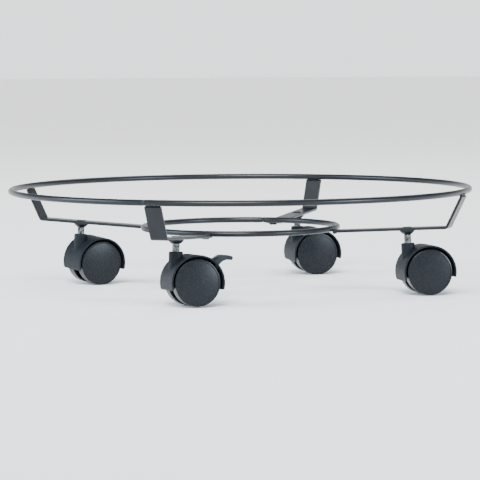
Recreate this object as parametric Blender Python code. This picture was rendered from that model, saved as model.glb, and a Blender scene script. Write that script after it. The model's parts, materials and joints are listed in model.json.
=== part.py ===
"""Plant pot caddy: two rod rings and four flat-bar arms on four twin-wheel swivel casters.

Metres, +Z up. The origin is on the floor under the centre of the rings. The arms lie along
+X, +Y, -X and -Y, and are called right, back, left and front. The front caster has a brake.
The arms rise slightly outward, and each caster's stem is square to its arm, so the stems splay.
"""

import math

import bmesh
import bpy
from mathutils import Matrix, Vector

MM = 0.001

# Rings of round rod
ROD_RADIUS = 2.5 * MM
OUTER_RING_RADIUS = 197.5 * MM
OUTER_RING_HEIGHT = 87.6 * MM
INNER_RING_RADIUS = 83.9 * MM
INNER_RING_HEIGHT = 54.7 * MM

# Flat-bar arms. Each leg's end meets the outer ring low on its outside: its inner face passes
# LEG_FACE_OFFSET from the rod's centre, and stops LEG_END_DROP before the point nearest to it.
BAR_WIDTH = 14.5 * MM
BAR_THICKNESS = 2.3 * MM
ARM_HEIGHT_AT_STEM = 56.0 * MM
ARM_SLOPE = math.radians(3.0)
LEG_LEAN = math.radians(26.0)
LEG_FACE_OFFSET = 2.1 * MM
LEG_END_DROP = 1.9 * MM
BEND_RADIUS = 2.6 * MM
ARM_HOLE_RADIUS = 4.3 * MM
FIT_GAP = 0.3 * MM

# Wheels: each a cup, closed on its outer side, with a hub in it for the axle
WHEEL_RADIUS = 19.3 * MM
WHEEL_OUTER_FACE = 16.2 * MM
WHEEL_INNER_FACE = 5.0 * MM
WHEEL_WALL = 2.4 * MM
WHEEL_FACE_THICKNESS = 2.8 * MM
WHEEL_CROWN = 0.3 * MM
WHEEL_EDGE_RADIUS = 1.7 * MM
WHEEL_INNER_CHAMFER = 0.7 * MM
WHEEL_HUB_RADIUS = 4.6 * MM
AXLE_RADIUS = 2.0 * MM
AXLE_HALF_LENGTH = 13.6 * MM
AXLE_CHAMFER = 0.4 * MM
AXLE_END_GAP = 0.4 * MM

# Caster bodies. Heights are measured along the stem from the plane that an upright wheel stands on.
STEM_CIRCLE_RADIUS = 150.4 * MM
TRAIL = 14.4 * MM
HOOD_RADIUS = 22.7 * MM
HOOD_WALL = 2.0 * MM
HOOD_HALF_WIDTH = 16.4 * MM
HOOD_CORNER = 2.5 * MM
HOOD_REAR_DROP = 5.6 * MM
HOOD_FRONT_DROP = 6.5 * MM
WEB_HALF_WIDTH = 4.4 * MM
WEB_INSET = 0.6 * MM
WEB_END_ANGLE = math.radians(9.0)
WEB_DEPTH_BELOW_AXLE = 6.5 * MM
WEB_FOOT_HALF_LENGTH = 6.0 * MM
SOCKET_RADIUS = 5.8 * MM
SOCKET_TOP = 44.2 * MM
SOCKET_FLOOR = 32.0 * MM
SOCKET_CHAMFER = 0.5 * MM
SOCKET_ROOT_ABOVE_AXLE = 9.5 * MM

# Stem and retaining ring
STEM_RADIUS = 3.0 * MM
STEM_TOP = 56.8 * MM
STEM_CHAMFER = 0.5 * MM
STEM_FOOT_CHAMFER = 1.0 * MM
RING_GROOVE_RADIUS = 2.3 * MM
RING_OUTER_RADIUS = 3.7 * MM
RING_HEIGHT = 1.0 * MM
RING_LEVEL = 39.0 * MM

# Weld nut, measured from the middle of the arm's thickness
NUT_FLANGE_RADIUS = 6.2 * MM
NUT_FLANGE_THICKNESS = 2.0 * MM
NUT_FLANGE_EDGE = 1.2 * MM
NUT_FLANGE_BEVEL = 1.4 * MM
NUT_LENGTH = 3.6 * MM
NUT_NECK_RADIUS = 4.2 * MM
NUT_PILOT_RADIUS = 4.0 * MM
NUT_PILOT_PROUD = 0.5 * MM

# Brake lever. Places are measured from the axle, along the trail and up. The finger tab starts at
# TAB_ROOT, rises straight for TAB_RUN, bends over, and ends in a short tail that droops.
BRAKE_PIVOT = Vector((10.0 * MM, 0.0, 13.0 * MM))
BRAKE_PIN_RADIUS = 1.2 * MM
BRAKE_HUB_RADIUS = 3.0 * MM
BRAKE_HUB_HALF_WIDTH = 3.0 * MM
TAB_HALF_WIDTH = 6.0 * MM
TAB_ROOT = Vector((16.1 * MM, 13.6 * MM))
TAB_RISE = math.radians(43.0)
TAB_RUN = 6.0 * MM
TAB_BEND_RADIUS = 10.0 * MM
TAB_DROOP = math.radians(10.0)
TAB_TAIL = 2.4 * MM
TAB_HALF_THICKNESS = 2.6 * MM
TAB_END_HALF_THICKNESS = 1.25 * MM
TAB_TIP = 1.2 * MM
NECK_LOWER = (17.4 * MM, 12.6 * MM)
NECK_UPPER = (15.6 * MM, 15.6 * MM)

# Slots for the lever: a wide one through the hood, and a narrow one in the web behind it
HOOD_SLOT_ANGLES = (math.radians(25.0), math.radians(51.0))
HOOD_SLOT_OVERCUT = 1.5 * MM
WEB_SLOT_ANGLES = (math.radians(20.0), math.radians(68.0))
WEB_SLOT_CLEARANCE = 0.7 * MM
WEB_SLOT_LOW = 7.6 * MM
WEB_SLOT_HIGH = 17.0 * MM

# Heading of each caster's trail, in degrees from +X, and the arm's direction
ARMS = {
    "right": {"arm": 0.0, "heading": 31.0},
    "back": {"arm": 90.0, "heading": 37.1},
    "left": {"arm": 180.0, "heading": 49.9},
    "front": {"arm": 270.0, "heading": 39.2},
}
BRAKED_CASTER = "front"

RING_STEPS = 64
INNER_RING_STEPS = 40
ROD_SIDES = 8
WHEEL_STEPS = 24
WELL_STEPS = 40
HOOD_STEPS = 20
BOSS_STEPS = 20
NUT_STEPS = 16
PIN_STEPS = 12
TAB_STEPS = 5
BEND_STEPS = 4

SHARP_ANGLE = math.radians(40.0)
CUTTER_REACH = 20.0 * MM
TOLERANCE = 0.01 * MM


def clear_scene():
    for item in list(bpy.data.objects):
        bpy.data.objects.remove(item, do_unlink=True)


def make_material(name, colour, roughness, metallic):
    material = bpy.data.materials.new(name)
    material.use_nodes = True
    shader = material.node_tree.nodes["Principled BSDF"]
    shader.inputs["Base Color"].default_value = (*colour, 1.0)
    shader.inputs["Roughness"].default_value = roughness
    shader.inputs["Metallic"].default_value = metallic
    return material


def finish_mesh(bm, name):
    """Turn a bmesh into a mesh with its faces out and its round faces smooth."""
    bmesh.ops.recalc_face_normals(bm, faces=bm.faces)
    mesh = bpy.data.meshes.new(name)
    bm.to_mesh(mesh)
    bm.free()
    mesh.shade_smooth()
    mesh.set_sharp_from_angle(angle=SHARP_ANGLE)
    return mesh


def add_object(name, mesh, material, parent=None, location=(0, 0, 0), turn=0.0):
    item = bpy.data.objects.new(name, mesh)
    if not mesh.materials:
        mesh.materials.append(material)
    item.parent = parent
    item.location = location
    item.rotation_euler = (0, 0, turn)
    bpy.context.collection.objects.link(item)
    return item


def add_empty(name, matrix):
    item = bpy.data.objects.new(name, None)
    item.matrix_world = matrix
    bpy.context.collection.objects.link(item)
    return item


def turned(profile, steps, axis="Z", closed=False):
    """Spin a profile of (radius, place along the axis) points round Z or Y."""
    bm = bmesh.new()
    if axis == "Z":
        points = [(radius, 0.0, along) for radius, along in profile]
        direction = (0, 0, 1)
    else:
        points = [(0.0, along, -radius) for radius, along in profile]
        direction = (0, 1, 0)
    verts = [bm.verts.new(point) for point in points]
    edges = [bm.edges.new(pair) for pair in zip(verts, verts[1:])]
    if closed:
        edges.append(bm.edges.new((verts[-1], verts[0])))
    bmesh.ops.spin(bm, geom=verts + edges, axis=direction, cent=(0, 0, 0),
                   steps=steps, angle=math.tau, use_merge=True)
    bmesh.ops.remove_doubles(bm, verts=bm.verts, dist=1e-6)
    return bm


def extruded(outline, half_width):
    """A slab with the outline given in X and Z, and its width along Y."""
    bm = bmesh.new()
    face = bm.faces.new([bm.verts.new((x, -half_width, z)) for x, z in outline])
    grown = bmesh.ops.extrude_face_region(bm, geom=[face])
    moved = [item for item in grown["geom"] if isinstance(item, bmesh.types.BMVert)]
    bmesh.ops.translate(bm, vec=(0, 2 * half_width, 0), verts=moved)
    return bm


def arc(centre, radius, start, end, steps):
    """Points on an arc in the XZ plane, from one angle to another, in radians."""
    points = []
    for step in range(steps + 1):
        angle = start + (end - start) * step / steps
        points.append((centre[0] + radius * math.cos(angle), centre[1] + radius * math.sin(angle)))
    return points


def combine(name, base, joined=(), cut=()):
    """Boolean union and difference of finished meshes, as one new mesh."""
    scene = bpy.context.scene
    target = bpy.data.objects.new(name, base)
    scene.collection.objects.link(target)
    helpers = [target]
    for operation, meshes in (("UNION", joined), ("DIFFERENCE", cut)):
        for mesh in meshes:
            helper = bpy.data.objects.new(name + "_tool", mesh)
            scene.collection.objects.link(helper)
            helpers.append(helper)
            modifier = target.modifiers.new(operation, "BOOLEAN")
            modifier.operation = operation
            modifier.object = helper
    graph = bpy.context.evaluated_depsgraph_get()
    result = bpy.data.meshes.new_from_object(target.evaluated_get(graph))
    result.name = name
    result.materials.clear()
    for helper in helpers:
        bpy.data.objects.remove(helper, do_unlink=True)
    result.shade_smooth()
    result.set_sharp_from_angle(angle=SHARP_ANGLE)
    return result


def circle_profile(centre_radius, level, radius, sides):
    return [(centre_radius + radius * math.cos(math.tau * side / sides),
             level + radius * math.sin(math.tau * side / sides)) for side in range(sides)]


def rod_ring(name, centre_radius, level, steps):
    profile = circle_profile(centre_radius, level, ROD_RADIUS, ROD_SIDES)
    return finish_mesh(turned(profile, steps, closed=True), name)


def stem_frame(arm_angle):
    """The frame of an arm's stem hole: on the middle of its thickness, Z square to the arm."""
    place = Matrix.Translation((STEM_CIRCLE_RADIUS, 0, ARM_HEIGHT_AT_STEM))
    tilt = Matrix.Rotation(-ARM_SLOPE, 4, "Y")
    return Matrix.Rotation(arm_angle, 4, "Z") @ place @ tilt


def arm_outline():
    """Side view of an arm: sloping run, rounded bend and leaning leg, as (radius, height)."""
    run = Vector((math.cos(ARM_SLOPE), math.sin(ARM_SLOPE)))
    leg = Vector((math.sin(LEG_LEAN), math.cos(LEG_LEAN)))
    outward = Vector((leg.y, -leg.x))
    half = BAR_THICKNESS / 2

    ring_centre = Vector((OUTER_RING_RADIUS, OUTER_RING_HEIGHT))
    beside_ring = ring_centre + outward * (LEG_FACE_OFFSET + half)
    top = beside_ring - leg * LEG_END_DROP
    stem_point = Vector((STEM_CIRCLE_RADIUS, ARM_HEIGHT_AT_STEM))
    offset = beside_ring - stem_point
    down = (offset.y * run.x - offset.x * run.y) / (leg.y * run.x - leg.x * run.y)
    corner = beside_ring - leg * down

    start_radius = INNER_RING_RADIUS + ROD_RADIUS + FIT_GAP
    start_height = ARM_HEIGHT_AT_STEM + (start_radius - STEM_CIRCLE_RADIUS) * math.tan(ARM_SLOPE)
    start = Vector((start_radius, start_height))

    turn = math.pi / 2 - LEG_LEAN - ARM_SLOPE
    tangent = BEND_RADIUS * math.tan(turn / 2)
    upward = Vector((-run.y, run.x))
    bend_centre = corner - run * tangent + upward * BEND_RADIUS
    first = ARM_SLOPE - math.pi / 2
    lower = arc(bend_centre, BEND_RADIUS + half, first, first + turn, BEND_STEPS)
    upper = arc(bend_centre, BEND_RADIUS - half, first, first + turn, BEND_STEPS)
    ends = [tuple(start - upward * half)] + lower + [tuple(top + outward * half)]
    back = [tuple(top - outward * half)] + upper[::-1] + [tuple(start + upward * half)]
    return ends + back


def arm_mesh():
    bar = finish_mesh(extruded(arm_outline(), BAR_WIDTH / 2), "arm")
    deep = 2 * BAR_THICKNESS
    profile = [(0, deep), (ARM_HOLE_RADIUS, deep), (ARM_HOLE_RADIUS, -deep), (0, -deep)]
    hole = turned(profile, NUT_STEPS)
    bmesh.ops.transform(hole, matrix=stem_frame(0.0), verts=hole.verts)
    return combine("arm", bar, cut=[finish_mesh(hole, "arm_hole")])


def weld_nut_mesh():
    bore = STEM_RADIUS + FIT_GAP
    pilot_top = BAR_THICKNESS / 2 + NUT_PILOT_PROUD
    seat = -BAR_THICKNESS / 2 - FIT_GAP
    profile = [
        (bore, pilot_top),
        (NUT_PILOT_RADIUS, pilot_top),
        (NUT_PILOT_RADIUS, seat),
        (NUT_FLANGE_RADIUS, seat),
        (NUT_FLANGE_RADIUS, seat - NUT_FLANGE_EDGE),
        (NUT_FLANGE_RADIUS - NUT_FLANGE_BEVEL, seat - NUT_FLANGE_THICKNESS),
        (NUT_NECK_RADIUS, seat - NUT_LENGTH),
        (bore, seat - NUT_LENGTH),
    ]
    return finish_mesh(turned(profile, NUT_STEPS, closed=True), "weld_nut")


def stem_mesh():
    """Threaded stem: plain thread diameter, a groove for the retaining ring, a rounded foot."""
    groove = RING_HEIGHT / 2 + FIT_GAP
    foot = SOCKET_FLOOR + FIT_GAP
    profile = [
        (0, STEM_TOP),
        (STEM_RADIUS - STEM_CHAMFER, STEM_TOP),
        (STEM_RADIUS, STEM_TOP - STEM_CHAMFER),
        (STEM_RADIUS, RING_LEVEL + groove),
        (RING_GROOVE_RADIUS, RING_LEVEL + groove),
        (RING_GROOVE_RADIUS, RING_LEVEL - groove),
        (STEM_RADIUS, RING_LEVEL - groove),
        (STEM_RADIUS, foot + STEM_FOOT_CHAMFER),
        (STEM_RADIUS - STEM_FOOT_CHAMFER, foot),
        (0, foot),
    ]
    return finish_mesh(turned(profile, PIN_STEPS), "caster_stem")


def retaining_ring_mesh():
    inner = RING_GROOVE_RADIUS + FIT_GAP
    low = RING_LEVEL - RING_HEIGHT / 2
    high = RING_LEVEL + RING_HEIGHT / 2
    profile = [(inner, high), (RING_OUTER_RADIUS, high), (RING_OUTER_RADIUS, low), (inner, low)]
    return finish_mesh(turned(profile, PIN_STEPS, closed=True), "retaining_ring")


def wheel_mesh():
    """One wheel: crowned closed face, rounded rim, and a cup with a hub on the inner side."""
    bore = AXLE_RADIUS + FIT_GAP
    bore_end = AXLE_HALF_LENGTH + AXLE_END_GAP
    cup_radius = WHEEL_RADIUS - WHEEL_WALL
    cup_floor = WHEEL_OUTER_FACE - WHEEL_FACE_THICKNESS
    edge_centre = (WHEEL_RADIUS - WHEEL_EDGE_RADIUS, WHEEL_OUTER_FACE - WHEEL_CROWN - WHEEL_EDGE_RADIUS)
    profile = [(0, WHEEL_OUTER_FACE)]
    profile += arc(edge_centre, WHEEL_EDGE_RADIUS, math.pi / 2, 0, 2)
    profile += [
        (WHEEL_RADIUS, WHEEL_INNER_FACE + WHEEL_INNER_CHAMFER),
        (WHEEL_RADIUS - WHEEL_INNER_CHAMFER, WHEEL_INNER_FACE),
        (cup_radius, WHEEL_INNER_FACE),
        (cup_radius, cup_floor),
        (WHEEL_HUB_RADIUS, cup_floor),
        (WHEEL_HUB_RADIUS, WHEEL_INNER_FACE),
        (bore, WHEEL_INNER_FACE),
        (bore, bore_end),
        (0, bore_end),
    ]
    return finish_mesh(turned(profile, WHEEL_STEPS, axis="Y"), "wheel")


def axle_mesh():
    half = AXLE_HALF_LENGTH
    end_radius = AXLE_RADIUS - AXLE_CHAMFER
    profile = [(0, half), (end_radius, half), (AXLE_RADIUS, half - AXLE_CHAMFER),
               (AXLE_RADIUS, AXLE_CHAMFER - half), (end_radius, -half), (0, -half)]
    return finish_mesh(turned(profile, PIN_STEPS, axis="Y"), "axle")


def hood_shell():
    """The curved cover over both wheels, centred on the axle."""
    inner_radius = HOOD_RADIUS - HOOD_WALL
    rear = -math.asin(HOOD_REAR_DROP / HOOD_RADIUS)
    front = math.pi + math.asin(HOOD_FRONT_DROP / HOOD_RADIUS)
    outside = arc((0, 0), HOOD_RADIUS, rear, front, HOOD_STEPS)
    inside = arc((0, 0), inner_radius, rear, front, HOOD_STEPS)
    bm = extruded(outside + inside[::-1], HOOD_HALF_WIDTH)
    corners = []
    for edge in bm.edges:
        one, two = edge.verts
        across = abs((one.co - two.co).length - HOOD_WALL) < TOLERANCE
        at_side = abs(abs(one.co.y) - HOOD_HALF_WIDTH) < TOLERANCE
        at_end = one.co.z < -HOOD_REAR_DROP / 2 and one.co.y * two.co.y > 0
        if across and at_side and at_end:
            corners.append(edge)
    bmesh.ops.bevel(bm, geom=corners, offset=HOOD_CORNER, segments=2, profile=0.5, affect="EDGES")
    return finish_mesh(bm, "hood_shell")


def web_slab():
    """The wall between the two wheels, which carries the axle and the foot of the stem."""
    low = -WEB_DEPTH_BELOW_AXLE
    outline = arc((0, 0), HOOD_RADIUS - WEB_INSET, -WEB_END_ANGLE, math.pi + WEB_END_ANGLE, HOOD_STEPS)
    outline += [(-WEB_FOOT_HALF_LENGTH, low), (WEB_FOOT_HALF_LENGTH, low)]
    return finish_mesh(extruded(outline, WEB_HALF_WIDTH), "web")


def socket_boss():
    """The round boss for the stem, running down into the hood."""
    top = SOCKET_TOP - WHEEL_RADIUS
    profile = [
        (0, top),
        (SOCKET_RADIUS - SOCKET_CHAMFER, top),
        (SOCKET_RADIUS, top - SOCKET_CHAMFER),
        (SOCKET_RADIUS, SOCKET_ROOT_ABOVE_AXLE),
        (0, SOCKET_ROOT_ABOVE_AXLE),
    ]
    bm = turned(profile, BOSS_STEPS)
    bmesh.ops.translate(bm, vec=(-TRAIL, 0, 0), verts=bm.verts)
    return finish_mesh(bm, "socket_boss")


def wheel_well(side):
    """The space that a wheel turns in, which the socket boss must not enter."""
    inner = WEB_HALF_WIDTH if side > 0 else -CUTTER_REACH
    outer = CUTTER_REACH if side > 0 else -WEB_HALF_WIDTH
    radius = HOOD_RADIUS - HOOD_WALL
    profile = [(0, outer), (radius, outer), (radius, inner), (0, inner)]
    return finish_mesh(turned(profile, WELL_STEPS, axis="Y"), "wheel_well")


def stem_bore():
    bore = STEM_RADIUS + FIT_GAP
    groove = RING_OUTER_RADIUS + FIT_GAP
    half = RING_HEIGHT / 2 + FIT_GAP
    level = RING_LEVEL - WHEEL_RADIUS
    top = SOCKET_TOP
    floor = SOCKET_FLOOR - WHEEL_RADIUS
    profile = [(0, top), (bore, top), (bore, level + half), (groove, level + half),
               (groove, level - half), (bore, level - half), (bore, floor), (0, floor)]
    bm = turned(profile, PIN_STEPS)
    bmesh.ops.translate(bm, vec=(-TRAIL, 0, 0), verts=bm.verts)
    return finish_mesh(bm, "stem_bore")


def cross_bore(radius, centre=(0, 0)):
    half = 2 * WEB_HALF_WIDTH
    bm = turned([(0, half), (radius, half), (radius, -half), (0, -half)], PIN_STEPS, axis="Y")
    bmesh.ops.translate(bm, vec=(centre[0], 0, centre[1]), verts=bm.verts)
    return finish_mesh(bm, "cross_bore")


def brake_slots():
    """Openings for the lever: a wide one through the hood and a narrow one in the web."""
    inner_radius = HOOD_RADIUS - HOOD_WALL
    outside = arc((0, 0), HOOD_RADIUS + HOOD_WALL, *HOOD_SLOT_ANGLES, TAB_STEPS)
    inside = arc((0, 0), inner_radius - HOOD_SLOT_OVERCUT, *HOOD_SLOT_ANGLES, TAB_STEPS)
    hood_cut = extruded(outside + inside[::-1], TAB_HALF_WIDTH + FIT_GAP)
    hood_slot = finish_mesh(hood_cut, "hood_slot")
    back = BRAKE_PIVOT.x - BRAKE_HUB_RADIUS - WEB_SLOT_CLEARANCE
    rim = arc((0, 0), inner_radius - FIT_GAP, *WEB_SLOT_ANGLES, 2 * BEND_STEPS)
    web_outline = [(back, WEB_SLOT_LOW)] + rim + [(back, WEB_SLOT_HIGH)]
    web_slot = finish_mesh(extruded(web_outline, BRAKE_HUB_HALF_WIDTH + FIT_GAP), "web_slot")
    return [hood_slot, web_slot]


def caster_body_mesh(braked):
    """Hood, web and socket in one moulding, with its origin on the stem axis at floor level."""
    cuts = [wheel_well(1), wheel_well(-1)]
    boss = combine("boss", socket_boss(), cut=cuts)
    bores = [stem_bore(), cross_bore(AXLE_RADIUS + FIT_GAP)]
    if braked:
        pin = (BRAKE_PIVOT.x, BRAKE_PIVOT.z)
        bores += brake_slots() + [cross_bore(BRAKE_PIN_RADIUS + FIT_GAP, pin)]
    mesh = combine("caster_body", hood_shell(), joined=[web_slab(), boss], cut=bores)
    mesh.transform(Matrix.Translation((TRAIL, 0, WHEEL_RADIUS)))
    return mesh


def tab_stations():
    """Middle line of the finger tab, as (point, heading): straight rise, bend and drooping tail."""
    rise = Vector((math.cos(TAB_RISE), math.sin(TAB_RISE)))
    droop = Vector((math.cos(TAB_DROOP), -math.sin(TAB_DROOP)))
    bend_start = TAB_ROOT + rise * TAB_RUN
    centre = bend_start + Vector((rise.y, -rise.x)) * TAB_BEND_RADIUS
    stations = [(TAB_ROOT, TAB_RISE)]
    for step in range(TAB_STEPS + 1):
        heading = TAB_RISE - (TAB_RISE + TAB_DROOP) * step / TAB_STEPS
        across = Vector((-math.sin(heading), math.cos(heading)))
        stations.append((centre + across * TAB_BEND_RADIUS, heading))
    stations.append((stations[-1][0] + droop * TAB_TAIL, -TAB_DROOP))
    return stations


def tab_outline():
    """Side view of the tab: even thickness up to the bend, then tapering to a blunt tip."""
    stations = tab_stations()
    taper = TAB_HALF_THICKNESS - TAB_END_HALF_THICKNESS
    upper = []
    lower = []
    for index, (point, heading) in enumerate(stations):
        past_bend = max(index - 1, 0) / (len(stations) - 2)
        half = TAB_HALF_THICKNESS - taper * past_bend
        across = Vector((-math.sin(heading), math.cos(heading))) * half
        upper.append(tuple(point + across))
        lower.append(tuple(point - across))
    end = stations[-1][0]
    tip = end + Vector((math.cos(TAB_DROOP), -math.sin(TAB_DROOP))) * TAB_TIP
    return lower + [tuple(tip)] + upper[::-1]


def brake_lever_mesh():
    """Hub and neck in the web slot, and a wider curved tab outside; origin on the pivot."""
    tab = finish_mesh(extruded(tab_outline(), TAB_HALF_WIDTH), "tab")
    centre = (BRAKE_PIVOT.x, BRAKE_PIVOT.z)
    neck = arc(centre, BRAKE_HUB_RADIUS, math.radians(80), math.radians(280), 2 * BEND_STEPS)
    neck += [NECK_LOWER, NECK_UPPER]
    hub = finish_mesh(extruded(neck, BRAKE_HUB_HALF_WIDTH), "hub")
    bore = cross_bore(BRAKE_PIN_RADIUS + FIT_GAP, centre)
    mesh = combine("brake_lever", tab, joined=[hub], cut=[bore])
    mesh.transform(Matrix.Translation(-BRAKE_PIVOT))
    return mesh


def brake_pin_mesh():
    half = WEB_HALF_WIDTH
    profile = [(0, half), (BRAKE_PIN_RADIUS, half), (BRAKE_PIN_RADIUS, -half), (0, -half)]
    return finish_mesh(turned(profile, PIN_STEPS, axis="Y"), "brake_pin")


def seated(frame, heading, wheel):
    """A caster's frame at rest: turned to its heading, and screwed in until it stands on the floor."""
    caster = frame @ Matrix.Rotation(heading, 4, "Z")
    axle = caster @ Matrix.Translation((TRAIL, 0, WHEEL_RADIUS))
    lowest = min((axle @ Matrix.Rotation(turn, 4, "Z") @ vertex.co).z
                 for turn in (0.0, math.pi) for vertex in wheel.vertices)
    return caster @ Matrix.Translation((0, 0, -lowest / math.cos(ARM_SLOPE)))


def build_frame(materials):
    coat = materials["powder_coat"]
    outer = rod_ring("outer_ring", OUTER_RING_RADIUS, OUTER_RING_HEIGHT, RING_STEPS)
    inner = rod_ring("inner_ring", INNER_RING_RADIUS, INNER_RING_HEIGHT, INNER_RING_STEPS)
    add_object("outer_ring", outer, coat)
    add_object("inner_ring", inner, coat)
    arm = arm_mesh()
    nut = weld_nut_mesh()
    for side, place in ARMS.items():
        angle = math.radians(place["arm"])
        add_object(f"arm_{side}", arm, coat, turn=angle)
        weld_nut = add_object(f"weld_nut_{side}", nut, coat)
        weld_nut.matrix_world = stem_frame(angle)


def build_casters(materials):
    steel = materials["zinc_steel"]
    moulding = materials["body_plastic"]
    stem = stem_mesh()
    ring = retaining_ring_mesh()
    axle = axle_mesh()
    wheel = wheel_mesh()
    plain_body = caster_body_mesh(braked=False)
    braked_body = caster_body_mesh(braked=True)
    axle_spot = (TRAIL, 0, WHEEL_RADIUS)
    for side, place in ARMS.items():
        angle = math.radians(place["arm"])
        heading = math.radians(place["heading"]) - angle
        braked = side == BRAKED_CASTER
        swivel = add_empty(f"swivel_axis_{side}", seated(stem_frame(angle), heading, wheel))
        add_object(f"caster_stem_{side}", stem, steel, parent=swivel)
        add_object(f"retaining_ring_{side}", ring, materials["spring_steel"], parent=swivel)
        add_object(f"caster_body_{side}", braked_body if braked else plain_body, moulding, parent=swivel)
        add_object(f"axle_{side}", axle, materials["axle_steel"], parent=swivel, location=axle_spot)
        for letter, half_turn in (("a", math.pi), ("b", 0.0)):
            add_object(f"wheel_{side}_{letter}", wheel, materials["wheel_plastic"],
                       parent=swivel, location=axle_spot, turn=half_turn)
        if braked:
            pivot = Vector(axle_spot) + BRAKE_PIVOT
            add_object("brake_lever", brake_lever_mesh(), materials["lever_plastic"],
                       parent=swivel, location=pivot)
            add_object("brake_pin", brake_pin_mesh(), materials["axle_steel"],
                       parent=swivel, location=pivot)


def build():
    clear_scene()
    materials = {
        "powder_coat": make_material("powder_coat", (0.035, 0.039, 0.045), 0.38, 0.0),
        "body_plastic": make_material("body_plastic", (0.030, 0.034, 0.039), 0.5, 0.0),
        "wheel_plastic": make_material("wheel_plastic", (0.036, 0.040, 0.046), 0.5, 0.0),
        "lever_plastic": make_material("lever_plastic", (0.028, 0.030, 0.033), 0.5, 0.0),
        "zinc_steel": make_material("zinc_steel", (0.62, 0.64, 0.65), 0.28, 1.0),
        "axle_steel": make_material("axle_steel", (0.50, 0.50, 0.50), 0.35, 1.0),
        "spring_steel": make_material("spring_steel", (0.35, 0.35, 0.36), 0.35, 1.0),
    }
    build_frame(materials)
    build_casters(materials)


build()
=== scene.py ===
"""Looks for the plant pot caddy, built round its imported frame.

Metres, +Z up. Rings and arms are placed from the boxes of their nodes, and casters from the axes
of their joints. Each caster is modelled once, in its own frame: X along the trail, Y along the
axle, Z along the stem, with the origin on the stem axis at the plane that the wheels stand on.
"""

import json
import math

import bmesh
import bpy
from mathutils import Matrix, Vector, noise


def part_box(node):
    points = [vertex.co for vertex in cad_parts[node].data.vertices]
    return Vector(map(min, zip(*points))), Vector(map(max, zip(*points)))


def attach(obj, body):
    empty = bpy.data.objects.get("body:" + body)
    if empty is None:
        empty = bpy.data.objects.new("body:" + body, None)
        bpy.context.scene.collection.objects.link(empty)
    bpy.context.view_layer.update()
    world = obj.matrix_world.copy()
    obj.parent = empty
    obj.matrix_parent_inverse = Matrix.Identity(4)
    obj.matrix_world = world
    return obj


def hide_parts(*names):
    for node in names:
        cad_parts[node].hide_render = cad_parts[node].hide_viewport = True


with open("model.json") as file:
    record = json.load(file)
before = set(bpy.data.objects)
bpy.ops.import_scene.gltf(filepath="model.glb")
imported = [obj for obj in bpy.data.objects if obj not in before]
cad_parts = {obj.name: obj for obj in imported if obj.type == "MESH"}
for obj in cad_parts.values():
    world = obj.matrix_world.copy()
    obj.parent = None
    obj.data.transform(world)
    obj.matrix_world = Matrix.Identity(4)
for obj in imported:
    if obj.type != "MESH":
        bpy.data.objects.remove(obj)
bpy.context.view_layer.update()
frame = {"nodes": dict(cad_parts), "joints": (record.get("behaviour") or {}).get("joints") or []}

MM = 0.001
TOLERANCE = 0.01 * MM
SMALLEST_EDGE = 0.04 * MM
CUTTER_REACH = 20.0 * MM
SHARP_ANGLE = math.radians(38.0)
SIDES = ("right", "back", "left", "front")
BRAKED = "front"
JOINTS = {joint["name"]: joint for joint in frame["joints"]}

# Arms
BAR_WIDTH = 14.5 * MM
BAR_THICKNESS = 2.3 * MM
BAR_EDGE = 0.45 * MM
ARM_HEIGHT_AT_STEM = 56.0 * MM
LEG_LEAN = math.radians(26.0)
LEG_FACE_OFFSET = 2.1 * MM
LEG_END_DROP = 1.9 * MM
BEND_RADIUS = 2.6 * MM
BEND_STEPS = 12
BAR_END_EDGE = 0.25 * MM
ARM_HOLE_RADIUS = 4.1 * MM

# Weld nuts, measured from the middle of the arm's thickness
NUT_BORE = 3.1 * MM
NUT_PILOT_RADIUS = 4.0 * MM
NUT_PILOT_PROUD = 0.5 * MM
NUT_FLANGE_RADIUS = 6.2 * MM
NUT_FLANGE_THICKNESS = 1.9 * MM
NUT_NECK_RADIUS = 3.7 * MM
NUT_LENGTH = 3.3 * MM
NUT_SEAT_GAP = 0.02 * MM
NUT_RIM_SHARE = 0.6  # how much of the flange's thickness is straight

# Stems. Levels are measured from the plane that the wheels stand on.
STEM_RADIUS = 3.0 * MM
STEM_TOP = 56.8 * MM
STEM_FOOT = 32.3 * MM
THREAD_START = 50.6 * MM
THREAD_PITCH = 1.0 * MM
THREAD_DEPTH = 0.5 * MM
THREAD_RUN_OUT = 1.5 * THREAD_PITCH
THREAD_ROWS_PER_PITCH = 10
GROOVE_RADIUS = 2.3 * MM
GROOVE_LEVEL = 39.0 * MM
GROOVE_HALF = 0.8 * MM
GROOVE_EDGE = 0.02 * MM
STEM_TOP_CHAMFER_RADIUS = 2.5 * MM
STEM_FOOT_CHAMFER_RADIUS = 2.0 * MM

# Wheels. Faces are measured along the axle from the middle of the caster.
WHEEL_RADIUS = 19.3 * MM
WHEEL_FACE = 16.2 * MM
WHEEL_CROWN = 1.1 * MM
CROWN_SHARES = (0.0, 0.15, 0.3, 0.45, 0.6, 0.75, 0.9, 1.0)
WHEEL_BEVEL = 1.0 * MM
WHEEL_BEVEL_DROP = 0.3 * MM
TREAD_RELIEF = 0.05 * MM
LIP_WIDTH = 0.7 * MM
LIP_HEIGHT = 0.3 * MM
WHEEL_INNER_FACE = 5.0 * MM
WHEEL_WALL = 2.4 * MM
WHEEL_FACE_THICKNESS = 2.8 * MM
HUB_RADIUS = 4.6 * MM
AXLE_BORE = 2.3 * MM
AXLE_BORE_END = 14.0 * MM

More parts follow.
